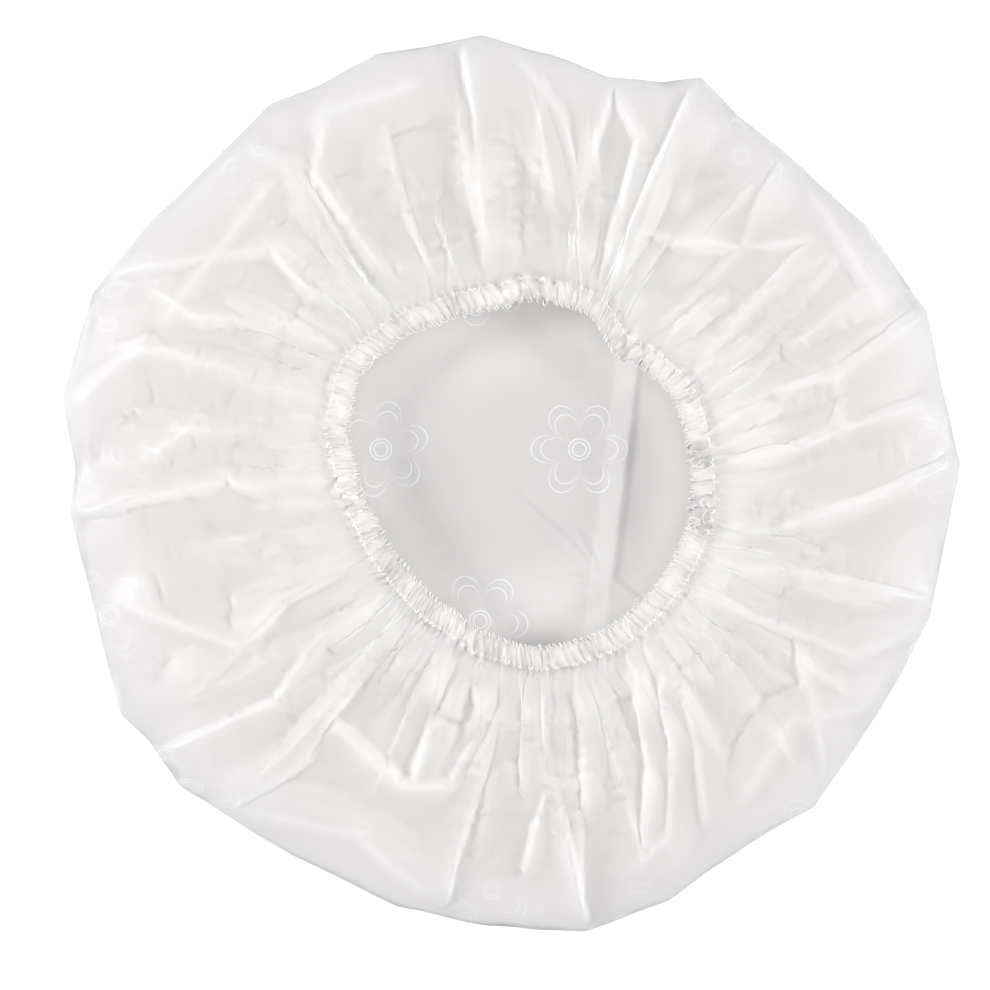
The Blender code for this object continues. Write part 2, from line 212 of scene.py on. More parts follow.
def fold_row(row):
    """One row of the skirt as folded: bearing of each column, and how far it stands up. A
    fold has one broad side and one steep side, towards which it lies."""
    rim, hem, outer, at_start, halfway, at_hem, side = FOLDS.T
    along = np.clip((share[row] - outer) / (1 - outer), 0, 1)
    leg = np.where(
        along < 0.5,
        at_start + (halfway - at_start) * ease(along * 2),
        halfway + (at_hem - halfway) * ease(along * 2 - 1),
    )
    leg = leg * ease(along / 0.3) * (1 - ease((share[row] - SPREAD_FROM) / SPREAD_OVER))
    leg = leg * 0.001 + 1e-5
    rise = np.sin(np.radians(LEAN))
    broad_film, steep_film = leg, leg * np.hypot(rise, STEEP_SIDE)
    broad_cap, steep_cap = leg * np.cos(np.radians(LEAN)), leg * STEEP_SIDE
    ridge = rim + (hem - rim) * share[row]
    to_film = np.degrees(1 / on_disc[row].mean())
    to_cap = np.degrees(1 / (reach + (edge - reach) * share[row]).mean())
    before = np.where(side > 0, broad_film, steep_film) * to_film
    after = np.where(side > 0, steep_film, broad_film) * to_film
    cap_before = np.where(side > 0, broad_cap, steep_cap) * to_cap
    cap_after = np.where(side > 0, steep_cap, broad_cap) * to_cap
    on_film = np.maximum.accumulate(np.stack([rim - before, rim, rim + after], 1).ravel())
    on_cap = np.maximum.accumulate(np.stack([ridge - cap_before, ridge, ridge + cap_after], 1).ravel())
    up = np.stack([0 * leg, leg * rise, 0 * leg], 1).ravel()
    turns = np.array((-360, 0, 360))[:, None]
    bearing = np.interp(column, (on_film + turns).ravel(), (on_cap + turns).ravel())
    return bearing, np.interp(column, (on_film + turns).ravel(), np.tile(up, 3))


def gather(turns):
    """A pleat for every whole turn, from -1 to 1, with straight sides."""
    return np.arcsin(np.sin(2 * np.pi * turns)) / (np.pi / 2)


# At the hem the film of each fold is spread along the elastic
hem_bearing = column + np.interp(column, FOLDS[:, 0], FOLDS[:, 1] - FOLDS[:, 0], period=360)
hem_turns = column / 360 * GATHERS + 0.35 * ripple(column, 1, (7, 11, 17))
hem_turns = hem_turns + 0.25 * ripple(column, 6, (37, 53, 71))
fine_gathers = 2.0 * ripple(column, 4, (113, 137, 173, 199, 227, 251, 269))
# Where more of the film goes into each length of elastic its gathers are closer and lower
spread = np.clip(np.gradient(hem_bearing) * COLUMNS / 360, 0.5, 2.0)
gather_size = (0.60 + 0.30 * ripple(column, 2, (23, 31, 41, 67))) * spread
gather_lean = 0.7 + 0.8 * ripple(column, 8, (5, 9, 14, 29))
# Where the ends of the elastic are joined the film is bunched up
BUNCH_RISE = 0.0020
bunched = np.exp(-(turn_to(hem_bearing, 6) / 3.2) ** 2)
bunched = bunched + 0.7 * np.exp(-(turn_to(hem_bearing, 346) / 4.0) ** 2)
gather_size = gather_size * (1 + 1.3 * bunched)


def hem_ring(inset, height, lift, lean, slant, edge_wave=0.0):
    """A ring of the hem. Its gathers stand up by lift, lie over by lean, start slant of a pleat
    further on, and push the ring outwards by edge_wave."""
    wave = (gather(hem_turns + slant) + fine_gathers) * gather_size
    radius = mouth_at(hem_bearing, 1) * OPENING_RADIUS + inset + edge_wave * wave
    bearing = hem_bearing + np.degrees(lean * gather_lean * wave / radius)
    level = mouth_at(hem_bearing, 2) * HEM_HEIGHT + height + lift * wave
    return polar(radius, bearing, level + BUNCH_RISE * bunched * (height > 0))


def crease_height(x, y):
    """What the creases add to the height of the skirt, and how near a crest each point is."""
    height, crest = np.zeros_like(x), np.zeros_like(x)
    for high, left, right, *points in CREASES:
        stops = np.array(points) * RIM_RADIUS
        for start, end in zip(stops, stops[1:]):
            run = np.linalg.norm(end - start)
            ahead = (end - start) / run
            middle = (start + end) / 2
            # Runs that cross the film's rows need a wider steep side than those that follow them
            sideways = abs(ahead[0] * middle[1] - ahead[1] * middle[0]) / np.linalg.norm(middle)
            steep = 2.4 * sideways
            along = (x - start[0]) * ahead[0] + (y - start[1]) * ahead[1]
            off = (x - start[0]) * ahead[1] - (y - start[1]) * ahead[0]
            past = np.maximum(np.maximum(-along, along - run), 0)
            slope = np.where(off > 0, off / (right + steep), -off / (left + steep)) * 1000
            shape = np.clip(1 - np.hypot(slope, past / 0.008), 0, 1)
            height = np.maximum(height, CREASE_RISE * high * shape)
            crest_width = 0.0007 + 0.0008 * sideways
            near_crest = np.exp(-(off / crest_width) ** 2 - (past / 0.004) ** 2)
            crest = np.maximum(crest, near_crest)
    return height, crest


SKIRT_PUFF = 0.004           # the skirt halfway, above a straight line from rim to hem
GATHER_PUFF = 0.0015         # and what its last stretch stands above that
skirt = np.zeros((SKIRT_ROWS, COLUMNS, 3))
for row in range(SKIRT_ROWS):
    bearing, up = fold_row(row)
    from_mouth = reach + (edge - reach) * share[row]
    plan = np.interp(bearing % 360, [*column, 360], [*from_mouth, from_mouth[0]])
    level = CREASE + (mouth_at(bearing, 2) * HEM_HEIGHT - CREASE) * share[row]
    level = level + SKIRT_PUFF * np.sin(np.pi * share[row])
    level = level + GATHER_PUFF * np.sin(np.pi * ease((share[row] - 0.6) / 0.4))
    skirt[row] = polar(plan, bearing, level + up)
    # What the folds leave of the film rises in gathers, finer and finer towards the hem
    span = np.linalg.norm(np.roll(skirt[row], -1, 0) - skirt[row], axis=1)
    spare = np.sqrt(np.maximum(across[row] ** 2 - span ** 2, 0))
    spare = np.convolve(np.tile(spare, 3), np.ones(15) / 15, "same")[COLUMNS:-COLUMNS]
    fine = ease((share[row] - 0.80) / 0.20)
    middling = ease((share[row] - 0.55) / 0.30) * (1 - fine)
    broad = ease((share[row] - 0.20) / 0.40) * (1 - fine) * (1 - middling)
    for part, amount in ((1, fine), (2, middling), (4, broad)):
        rise = np.minimum(spare * COLUMNS / GATHERS * part / 4, TALLEST_GATHER)
        skirt[row, :, 2] += amount * rise * gather(hem_turns / part) * gather_size
skirt[0] = polar(reach, column, CREASE)
skirt[-1] = hem_ring(HEM_WIDTH, HEM_SPREAD / 2, 0.0015, 0.0014, 0.0)
# Corners are rounded once, and the creases are laid over the folds
rounded = (np.roll(skirt, 1, 1) + np.roll(skirt, -1, 1) + 2 * skirt) / 4
skirt[1:-1] = (rounded[:-2] + rounded[2:] + 2 * rounded[1:-1]) / 4
hold = ease(share / 0.10) * (1 - ease((share - 0.84) / 0.14))
added, crest = crease_height(skirt[..., 0], skirt[..., 1])
skirt[..., 2] += hold[:, None] * added
crest *= hold[:, None]
# From here on the film keeps its lengths
across = np.linalg.norm(np.roll(skirt, -1, 1) - skirt, axis=2)

WEIGHT = 1e-6                # that the film sinks by at each step
LOWEST = 0.0012              # that the skirt lies above the table, on the crown
STIFFNESS = 0.15             # of film that is only a little bent
CLOSEST = 0.8                # two columns, as a share of the film between them
CREASED = 0.22               # bend, over half the span, from which film stays creased


def lengths(gap):
    """Length of each vector, never quite nothing."""
    return np.sqrt(np.einsum("...k,...k", gap, gap)) + 1e-12


def pull(near, far, rest, free_near, free_far, stiffness):
    """Moves that bring each pair of points to its rest length."""
    gap = far - near
    length = lengths(gap)
    free = np.maximum(free_near + free_far, 1e-6)
    step = stiffness * (length - rest) / length / free
    return gap * (step * free_near)[..., None], gap * (-step * free_far)[..., None]


def unbend(gap, rest, crease):
    """Moves that push points apart where the film between them is bent, but not creased."""
    length = lengths(gap)
    bent = (length > crease * rest) & (length < rest)
    return gap * np.where(bent, STIFFNESS * (length - rest) / length, 0)[..., None]


def flatten(before, here, after, calm):
    """Moves towards the middle of the points on both sides, small at a crease."""
    bend = (before + after) / 2 - here
    half = np.linalg.norm(after - before, axis=-1) / 2 + 1e-9
    sharpness = np.einsum("...k,...k", bend, bend) / (CREASED * half) ** 2
    return bend * (calm * np.exp(-sharpness))[..., None]


def relax(film, steps, stiff, shear, calm=0.0):
    """Lets the film settle: it doesn't stretch, it lies down under its weight, and it stays flat
    where it is only a little bent and creased where it is bent far. Rim and hem are held."""
    film = film.astype(np.float32)
    rest_across, rest_down = across.astype(np.float32), down.astype(np.float32)
    rest_slant = np.sqrt(rest_across[:-1] ** 2 + rest_down ** 2)
    free = np.ones((SKIRT_ROWS, COLUMNS), np.float32)
    free[0] = free[-1] = 0
    squareness = across.mean() / down.mean()
    for step in range(steps):
        film[1:-1, :, 2] -= WEIGHT
        for skip, crease in stiff:
            move = unbend(np.roll(film, -skip, 1) - film, rest_across * skip, crease)
            film[1:-1] += (move - np.roll(move, skip, 1))[1:-1]
            rows = max(1, round(skip * squareness))
            if rows < SKIRT_ROWS - 1:
                move = unbend(film[rows:] - film[:-rows], rest_down * rows, crease)
                film[1:-rows] += move[1:]
                film[rows:-1] -= move[:-1]
        for first in (0, 1):
            following = (np.arange(first, COLUMNS, 2) + 1) % COLUMNS
            here, there = pull(
                film[:, first::2], film[:, following], rest_across[:, first::2],
                free[:, first::2], free[:, following], 1.0,
            )
            film[:, first::2] += here
            film[:, following] += there
        for first in (0, 1):
            last = first + 2 * ((SKIRT_ROWS - first) // 2)
            upper, lower = slice(first, last, 2), slice(first + 1, last, 2)
            here, there = pull(film[upper], film[lower], rest_down, free[upper], free[lower], 1.0)
            film[upper] += here
            film[lower] += there
        for side in (1, -1):
            below = np.roll(film, -side, 1)[1:]
            here, there = pull(film[:-1], below, rest_slant, free[:-1], free[1:], shear)
            film[:-1] += here
            film[1:] += np.roll(there, side, 1)
        gap = np.roll(film, -2, 1) - film
        length = lengths(gap)
        short = length - CLOSEST * rest_across
        move = gap * np.where(short < 0, short / length * 0.25, 0)[..., None]
        film[1:-1] += (move - np.roll(move, 2, 1))[1:-1]
        if calm:
            for skip in (1, 2, 3):
                before, after = np.roll(film, skip, 1), np.roll(film, -skip, 1)
                film[1:-1] += flatten(before, film, after, calm)[1:-1]
            film[1:-1] += flatten(film[:-2], film[1:-1], film[2:], calm)
        np.maximum(film[..., 2], LOWEST, out=film[..., 2])
    return film.astype(float)


skirt = relax(skirt, 24, ((4, 0.90), (8, 0.95), (16, 0.97)), 0.05)
skirt = relax(skirt, 3, ((4, 0.90),), 0.05, calm=0.2)
# Thin film springs back from its sharpest folds, the more so the closer they lie
SPRING = 0.46
softer = sum(np.roll(skirt[..., 2], turn, 1) for turn in range(-3, 4)) / 7
spring = SPRING * ease(share / 0.5) * (1 - ease((share - 0.94) / 0.06))
skirt[1:-1, :, 2] += (spring[:, None] * (softer - skirt[..., 2]))[1:-1]

# The crown lies on the table with a few soft ridges and one pleat. Places and widths are shares of
# OPENING_RADIUS, places from the middle of the mouth; the second side is the steeper one.
CROWN_LIFT = 0.0007          # of film that lies as flat as it can
CROWN_RISE = 0.0006          # of a ridge, for each unit of its height
CROWN_RIDGES = (
    # from_x, from_y, to_x, to_y, height, width before, width after
    (-0.78, 0.50, 0.10, -0.27, 0.9, 0.16, 0.12),
    (-0.05, -0.10, 0.52, -0.62, 1.5, 0.12, 0.05),
    (0.70, 0.62, 0.55, -0.62, 1.7, 0.15, 0.06),
    (0.30, -0.28, 0.53, -0.66, 1.1, 0.05, 0.04),
    (0.22, -0.60, 0.54, -0.66, 1.0, 0.05, 0.05),
    (0.54, -0.64, 0.78, -0.80, 1.1, 0.06, 0.06),
    (-0.30, -0.90, 0.45, -0.72, 0.8, 0.10, 0.06),
    (-0.95, -0.10, -0.40, -0.55, 0.6, 0.12, 0.08),
)


def crown_height(x, y):
    """How far the crown stands off the table."""
    x, y = x / OPENING_RADIUS, y / OPENING_RADIUS
    height = CROWN_LIFT + 0.0002 * np.sin(9 * x + 2 * y) * np.sin(7 * y - 3 * x)
    for from_x, from_y, to_x, to_y, high, before, after in CROWN_RIDGES:
        run = np.hypot(to_x - from_x, to_y - from_y)
        to_right_x, to_right_y = (to_y - from_y) / run, -(to_x - from_x) / run
        along = ((x - from_x) * (to_x - from_x) + (y - from_y) * (to_y - from_y)) / run ** 2
        off = -((x - from_x) * to_right_x + (y - from_y) * to_right_y)
        past = np.maximum(np.maximum(-along, along - 1), 0) * run
        slope = np.where(off > 0, off / after, -off / before)
        shape = np.clip(1 - np.hypot(slope, past / 0.15), 0, 1)
        taper = 0.35 + 0.65 * np.clip(1 - np.abs(along - 0.5) * 1.4, 0, 1)
        height = np.maximum(height, CROWN_LIFT + CROWN_RISE * high * taper * ease(shape))
    return height


rings, cut = [], []


def add_ring(ring):
    """A ring of the crown, which is where it was on the disc as cut."""
    rings.append(ring)
    cut.append(ring[:, :2].copy())


for every, parts in ((4, np.linspace(0.012, 0.21, 30)), (2, np.linspace(0.217, 0.5, 42))):
    for part in parts:
        ring = polar(part * reach[::every], column[::every], 0)
        ring[:, 2] = crown_height(ring[:, 0], ring[:, 1])
        add_ring(ring)
half_columns = column[::2]
for part in (0.60, 0.70, 0.80, 0.88):
    ring = polar(part * reach[::2], half_columns, 0)
    swell = 1 + ripple(half_columns, 9, (13, 19, 29))
    ring[:, 2] = CROWN_LIFT + CROWN_RISE * swell * ease((part - 0.5) / 0.4)
    add_ring(ring)
for inset, height in ((0.010, 0.0009), (0.004, 0.0007), (0.0015, 0.0007), (0.0004, 0.0010)):
    add_ring(polar(reach - inset, column, height))
crown_rings = len(rings)
rings += list(skirt)
cut += list(polar(on_disc, column, 0)[..., :2])
half_spread = HEM_SPREAD / 2
# The hem goes over the elastic, round the inner edge and back under it
for share_in, lift, lean, slant in (
    (0.10, 0.0013, 0.0013, 0.07), (0.24, 0.0009, 0.0010, 0.16), (0.38, 0.0011, 0.0010, 0.24),
    (0.55, 0.0012, 0.0010, 0.33), (0.70, 0.0011, 0.0009, 0.41), (0.86, 0.0008, 0.0008, 0.48),
):
    inset = HEM_WIDTH + (ELASTIC_INSET - HEM_WIDTH) * share_in
    rings.append(hem_ring(inset, half_spread, lift, lean, slant))
for angle, lift in ((70, 0.0007), (25, 0.0004), (-25, 0.0003), (-70, 0.0003)):
    turn = np.radians(angle)
    inset, height = ELASTIC_INSET - half_spread * np.cos(turn), half_spread * np.sin(turn)
    rings.append(hem_ring(inset, height, lift, 0.0007, 0.5, 0.0004))
for share_out, lift in ((0.25, 0.0003), (0.5, 0.0005), (0.75, 0.0007), (0.97, 0.0009)):
    inset = ELASTIC_INSET + (HEM_WIDTH - ELASTIC_INSET) * share_out
    rings.append(hem_ring(inset, -half_spread, lift, 0.0008, 0.5))
hem_rings = len(rings) - crown_rings - SKIRT_ROWS
past_skirt = on_disc[-1] + HEM_WIDTH * np.linspace(0, 2, hem_rings + 1)[1:, None]
cut += list(polar(past_skirt, column, 0)[..., :2])

CUT_ACROSS = 0.52            # side of the square that the cut disc is laid out in
CRINKLES = 420               # facets of the disc
CRINKLE_REACH = 0.25         # from the disc's middle, where they lie
CRINKLE_SLOPE = 0.042
crown_middle = np.array([[0, 0, crown_height(np.zeros(1), np.zeros(1))[0]]])
points, places = [crown_middle] + rings, [np.zeros((1, 2))] + cut
inner = np.arange(1, 1 + len(rings[0]))
faces, first = np.stack([np.zeros_like(inner), np.roll(inner, -1), inner], 1).tolist(), 1
for ring, following in zip(rings, rings[1:]):
    here = first + np.arange(len(ring))
    there = first + len(ring) + np.arange(len(following))
    first += len(ring)
    corners = [here, np.roll(here, -1), np.roll(there, -1), there]
    if len(ring) < len(following):
        corners = [here, np.roll(here, -1), np.roll(there, -2)[::2], there[1::2], there[::2]]
    faces += np.stack(corners, 1).tolist()
points, places = np.concatenate(points) + MIDDLE, np.concatenate(places)
# Storage has left the film in small flat facets that meet at creases
dice = np.random.default_rng(11)
out_by = CRINKLE_REACH * np.sqrt(dice.uniform(0, 1, CRINKLES))
middles = polar(out_by, dice.uniform(0, 360, CRINKLES), 0)[:, :2]
cut_x, cut_y = places.T
wander = np.stack([np.sin(cut_y * 90) + np.sin(cut_x * 57), np.sin(cut_x * 83) + np.sin(cut_y * 61)], 1)
nearest = np.concatenate([
    np.sort(np.linalg.norm((part + shift)[:, None] - middles, axis=2), axis=1)[:, :2]
    for part, shift in zip(np.array_split(places, 40), np.array_split(0.004 * wander, 40))
])
# Along the creases between facets the film gets a painted highlight
painted_crease_light = 0.14 * np.exp(-(((nearest[:, 1] - nearest[:, 0]) / 0.0012) ** 2))
film_mesh = bpy.data.meshes.new("film")
film_mesh.from_pydata(points.tolist(), [], faces)
normals = np.empty(len(points) * 3, np.float32)
film_mesh.vertices.foreach_get("normal", normals)
crown_points = 1 + sum(len(ring) for ring in rings[:crown_rings])
skirt_points = slice(crown_points, crown_points + crest.size)
# Crests get a painted highlight, and the steep sides of folds are painted whiter to lift their shade
steepness = ease((0.85 - np.abs(normals[2::3][skirt_points])) / 0.4)
painted_crease_light[skirt_points] += crest.ravel() + 1.5 * steepness
inside_disc = np.linalg.norm(places, axis=1)
loose = ease((inside_disc - 0.02) / 0.02) * ease((on_disc[-1].mean() - 0.012 - inside_disc) / 0.02)
crinkle = CRINKLE_SLOPE * (nearest[:, 0] - 0.006) * loose
points[:, 2] = np.maximum(points[:, 2] + crinkle * normals[2::3], 0.0002)
points[:, :2] += (crinkle * loose)[:, None] * normals.reshape(-1, 3)[:, :2]
film_mesh.vertices.foreach_set("co", points.astype(np.float32).ravel())
film_mesh.shade_smooth()
laid_out = 0.5 + places / CUT_ACROSS
corner = np.empty(len(film_mesh.loops), np.int32)
film_mesh.loops.foreach_get("vertex_index", corner)
film_mesh.uv_layers.new(name="cut").uv.foreach_set("vector", laid_out[corner].astype(np.float32).ravel())


def note(mesh, name, values, kind="FLOAT", domain="POINT"):
    """Stores an attribute for the materials or the node tree."""
    stored = mesh.attributes.new(name, kind, domain).data
    stored.foreach_set("value" if kind == "FLOAT" else "vector", np.asarray(values, np.float32).ravel())


# A plain flower is printed in staggered rows; each turns its own way
PRINT_PITCH = 0.064
PRINT_ROW = PRINT_PITCH * 0.866
starts, totals = np.empty(len(faces), np.int32), np.empty(len(faces), np.int32)
film_mesh.polygons.foreach_get("loop_start", starts)
film_mesh.polygons.foreach_get("loop_total", totals)
faced = np.repeat(places[corner[starts]], totals, 0)
flower_row = np.floor(faced[:, 1] / PRINT_ROW + 0.35)
flower = np.floor(faced[:, 0] / PRINT_PITCH + 0.2 + flower_row * 0.5)
from_x = places[corner, 0] - (flower + 0.3 - flower_row * 0.5) * PRINT_PITCH
from_y = places[corner, 1] - (flower_row + 0.15) * PRINT_ROW
spin = 2.4 * flower + 1.7 * flower_row
turned_x = from_x * np.cos(spin) - from_y * np.sin(spin)
turned_y = from_x * np.sin(spin) + from_y * np.cos(spin)
note(film_mesh, "in_flower", np.stack([turned_x, turned_y, 0 * spin], 1), "FLOAT_VECTOR", "CORNER")
# Where the film is crown, rim or hem, or lies beside the hem
in_order = np.arange(len(points))
from_mouth = np.linalg.norm(points[:, :2] - MIDDLE[:2], axis=1)
in_crown = in_order < crown_points
# On the crown a painted shade for the inside of the cap: full in the middle of the mouth, less out to its
# edge and under the skirt
note(film_mesh, "crown_and_painted_shade", np.where(in_crown, 1 - 0.27 * ease((from_mouth - 0.020) / 0.034), 0))
note(film_mesh, "in_hem", in_order >= skirt_points.stop)
beside_hem = np.zeros(len(points))
beside_hem[skirt_points] = np.repeat(ease((share - 0.72) / 0.22), COLUMNS)
note(film_mesh, "beside_hem", beside_hem)
towards_rim = (0.1, 0.2, 0.35, 0.6, 0.8, 0.95, 1.0)
rim_by_ring = np.concatenate([
    np.zeros(crown_rings - len(towards_rim)), towards_rim, 1 - ease(share / 0.35), np.zeros(hem_rings),
])
note(film_mesh, "near_rim", np.append(0, np.repeat(rim_by_ring, [len(ring) for ring in rings])))
# The crown's pleat is a strip of doubled film, with shade past its edge
PLEAT_WIDTH, PLEAT_SHADE = 0.0075, 0.015
pleat_x, pleat_y = points[:, 0] - MIDDLE[0], points[:, 1] - MIDDLE[1]
pleat_edge = (0.625 + 0.15 * pleat_y / (1.24 * OPENING_RADIUS)) * OPENING_RADIUS
past_edge = pleat_x - pleat_edge
doubled = ease((past_edge + PLEAT_WIDTH) / 0.0012) * (1 - ease(past_edge / 0.0006))
shaded = (past_edge > 0) * (1 - ease(past_edge / PLEAT_SHADE))
note(film_mesh, "pleat_and_painted_shadow", (doubled - 0.7 * shaded) * in_crown)
# The frosting is cloudy. Along creases, on crests and on the steep sides of folds the film is painted
# whiter: painted highlights and painted light
cloud = np.sin(cut_x * 70 + 2 * np.sin(cut_y * 45)) * np.sin(cut_y * 62 + 2 * np.sin(cut_x * 50))
note(film_mesh, "milk", 0.5 + 0.5 * cloud + 0.15 * dice.uniform(-1, 1, len(points)))
note(film_mesh, "creased", painted_crease_light * loose)


def add_to_scene(name, data):
    """A new object in the scene."""
    thing = bpy.data.objects.new(name, data)
    bpy.context.scene.collection.objects.link(thing)
    return thing


film = add_to_scene("film", film_mesh)


class Wire:
    """A shader socket that can stand in a Python expression."""

    def __init__(self, tree, socket=None):
        self.tree, self.socket = tree, socket

    def node(self, kind, settings=None, inlets=None, outlet=0):
        """Adds any node: its settings, then the values or wires of its sockets."""
        made = self.tree.nodes.new("ShaderNode" + kind)
        for name, value in (settings or {}).items():
            setattr(made, name, value)
        for name, value in (inlets or {}).items():
            if isinstance(value, Wire):
                self.tree.links.new(value.socket, made.inputs[name])
            else:
                made.inputs[name].default_value = value
        return Wire(self.tree, made.outputs[outlet])

    def maths(self, operation, first, second=0.0):
        return self.node("Math", {"operation": operation}, {0: first, 1: second})

    def __add__(self, other):
        return self.maths("ADD", self, other)

    def __radd__(self, other):
        return self.maths("ADD", other, self)

    def __sub__(self, other):
        return self.maths("SUBTRACT", self, other)

    def __rsub__(self, other):
        return self.maths("SUBTRACT", other, self)

    def __mul__(self, other):
        return self.maths("MULTIPLY", self, other)

    def __rmul__(self, other):
        return self.maths("MULTIPLY", other, self)

    def __truediv__(self, other):
        return self.maths("DIVIDE", self, other)

    def __pow__(self, other):
        return self.maths("POWER", self, other)


def new_finish(name):
    """An empty material and a wire to build it from."""
    finish = bpy.data.materials.new(name)
    finish.use_nodes = True
    finish.node_tree.nodes.clear()
    return finish, Wire(finish.node_tree)


def surface(shader):
    """Ends the tree of a material with its shader."""
    output = shader.tree.nodes.new("ShaderNodeOutputMaterial")
    shader.tree.links.new(shader.socket, output.inputs["Surface"])


def clamp(wire):
    return wire.node("Clamp", None, {"Value": wire})


def blend(share, low, high):
    """A colour between two others."""
    return share.node("Mix", {"data_type": "RGBA"}, {0: share, 6: low, 7: high}, 2)


def attribute(wire, name, outlet="Fac"):
    return wire.node("Attribute", {"attribute_name": name}, outlet=outlet)


frosted, wire = new_finish("frosted film")
crown = attribute(wire, "crown_and_painted_shade")
hem = attribute(wire, "in_hem")
rim = attribute(wire, "near_rim")
beside = attribute(wire, "beside_hem")
pleat_and_painted_shadow = attribute(wire, "pleat_and_painted_shadow")

# The printed flower, from the place in it that each corner of the film holds
PRINT_RADIUS, PRINT_LINE = 0.0155, 0.00028
axes = wire.node("SeparateXYZ", None, {"Vector": attribute(wire, "in_flower", "Vector")})
x, y = Wire(wire.tree, axes.socket.node.outputs["X"]), Wire(wire.tree, axes.socket.node.outputs["Y"])
from_middle = (x * x + y * y) ** 0.5
petal = wire.maths("ABSOLUTE", wire.maths("COSINE", wire.maths("ARCTAN2", y, x) * 3)) ** 0.6


def pair_of_lines(reach, middle, apart):
    """Two thin lines, one each side of a middle one."""
    off = wire.maths("ABSOLUTE", wire.maths("ABSOLUTE", reach - middle) - apart)
    return clamp(1.6 - off / (PRINT_LINE * 0.6))


printed = pair_of_lines(from_middle / (0.42 + 0.58 * petal), PRINT_RADIUS * 0.9, PRINT_RADIUS * 0.1)
printed = wire.maths("MAXIMUM", printed, pair_of_lines(from_middle, 0.0028, 0.0006))

# The frosting's cloudiness, and painted highlights along creases and crests, with painted light on the steep
# sides of folds
milk = attribute(wire, "milk")
creased = attribute(wire, "creased")
tone = blend(clamp(0.1 + 0.4 * milk + creased), (0.89, 0.883, 0.877, 1), (0.955, 0.95, 0.945, 1))
# Towards the rim the film is painted darker, darkest in a thin line at its edge: painted shade
tone = blend(rim * 0.68 + rim ** 12 * 0.17, tone, (0.70, 0.69, 0.70, 1))
# The crown is painted grey for the shade inside the cap; the pleat's doubled strip is lighter, and past its
# edge a painted shadow falls
tone = blend(crown - 0.12 * pleat_and_painted_shadow, tone, (0.49, 0.482, 0.478, 1))
tone = blend(hem * 0.9, tone, (0.64, 0.633, 0.63, 1))
tone = blend(printed * (0.7 - 0.4 * crown), tone, (1, 1, 1, 1))
rough = 0.38 + 0.12 * milk
skin = wire.node("BsdfPrincipled", None, {"Base Color": tone, "Roughness": rough, "IOR": 1.5})
glow = wire.node("BsdfTranslucent", None, {"Color": (0.98, 0.975, 0.97, 1)})
# Less light passes where the film lies on the table, lies double or is printed; along creases and crests, on
# steep fold sides and beside the hem less passes so that they look whiter, which is painted light
share_through = 0.82 - 0.66 * clamp(crown * 1.4) - 0.22 * rim - 0.10 * hem - 0.06 * beside
share_through = share_through - 0.12 * creased - 0.12 * printed
body = wire.node("MixShader", None, {0: share_through, 1: skin, 2: glow})
gloss = wire.node("BsdfAnisotropic", None, {"Color": (1, 1, 1, 1), "Roughness": 0.5})
out = wire.node("MixShader", None, {0: 0.016, 1: body, 2: gloss})
surface(out)
film_mesh.materials.append(frosted)

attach(film, "root")
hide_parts("film_cap")

# The elastic. A flat woven strip, cotton and rubber, lies loose in the hem and goes once round the
# mouth; the film is folded round it while it is stretched.

ELASTIC_WIDTH, ELASTIC_WALL = 0.0048, 0.0008
TURNS = 720                  # lengths of the mesh, once round
bearing = np.arange(TURNS) * 360 / TURNS
level = mouth_at(bearing, 2) * HEM_HEIGHT + 0.0001 * ripple(bearing, 5, (61, 83))
inner_edge = mouth_at(bearing, 1) * OPENING_RADIUS + ELASTIC_INSET
# Its outline in section: metres from the inner edge, height in shares of the wall
round_edge = [(0.0004, 0.5), (0.0001, 0.3), (0.0, 0.0), (0.0001, -0.3), (0.0004, -0.5)]
outline = round_edge + [(part / 8 * ELASTIC_WIDTH, -0.5) for part in range(1, 8)]
outline += [(ELASTIC_WIDTH - inset, up) for inset, up in reversed(round_edge)]
outline += [((8 - part) / 8 * ELASTIC_WIDTH, 0.5) for part in range(1, 8)]
strip = np.stack([polar(inner_edge + inset, bearing, level + up * ELASTIC_WALL) for inset, up in outline])
number = np.arange(len(outline) * TURNS).reshape(len(outline), TURNS)
onward = np.roll(number, -1, 1)
elastic_faces = np.stack([number, onward, np.roll(onward, -1, 0), np.roll(number, -1, 0)], -1).reshape(-1, 4)
elastic_mesh = bpy.data.meshes.new("elastic")
elastic_mesh.from_pydata((strip.reshape(-1, 3) + MIDDLE).tolist(), [], elastic_faces.tolist())
elastic_mesh.shade_smooth()
elastic = add_to_scene("elastic", elastic_mesh)

woven, wire = new_finish("woven elastic")
spot = wire.node("TexCoord", None, None, "Object")
weave = wire.node("TexNoise", None, {"Vector": spot, "Scale": 900.0, "Detail": 3.0}, "Fac")
threads = wire.node("TexVoronoi", None, {"Vector": spot, "Scale": 1500.0}, "Distance")
tone = blend(clamp(weave), (0.87, 0.845, 0.83, 1), (0.93, 0.915, 0.905, 1))
bump = wire.node("Bump", None, {"Height": threads * 0.0002, "Strength": 1.0, "Distance": 1.0}, "Normal")
skin = wire.node("BsdfPrincipled", None, {"Base Color": tone, "Roughness": 0.8, "Normal": bump})
surface(skin)
elastic_mesh.materials.append(woven)

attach(elastic, "root")
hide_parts("elastic_band")

# The thread. Fine clear nylon closes the hem over the elastic: overlock loops round the inner edge, a
# row of small loops along the outer seam, and loose tangles where the ends of the elastic are joined.

THREAD = 0.00013             # radius
LOOP_PITCH, SEAM_PITCH = 0.0010, 0.0017   # inner edge, outer seam


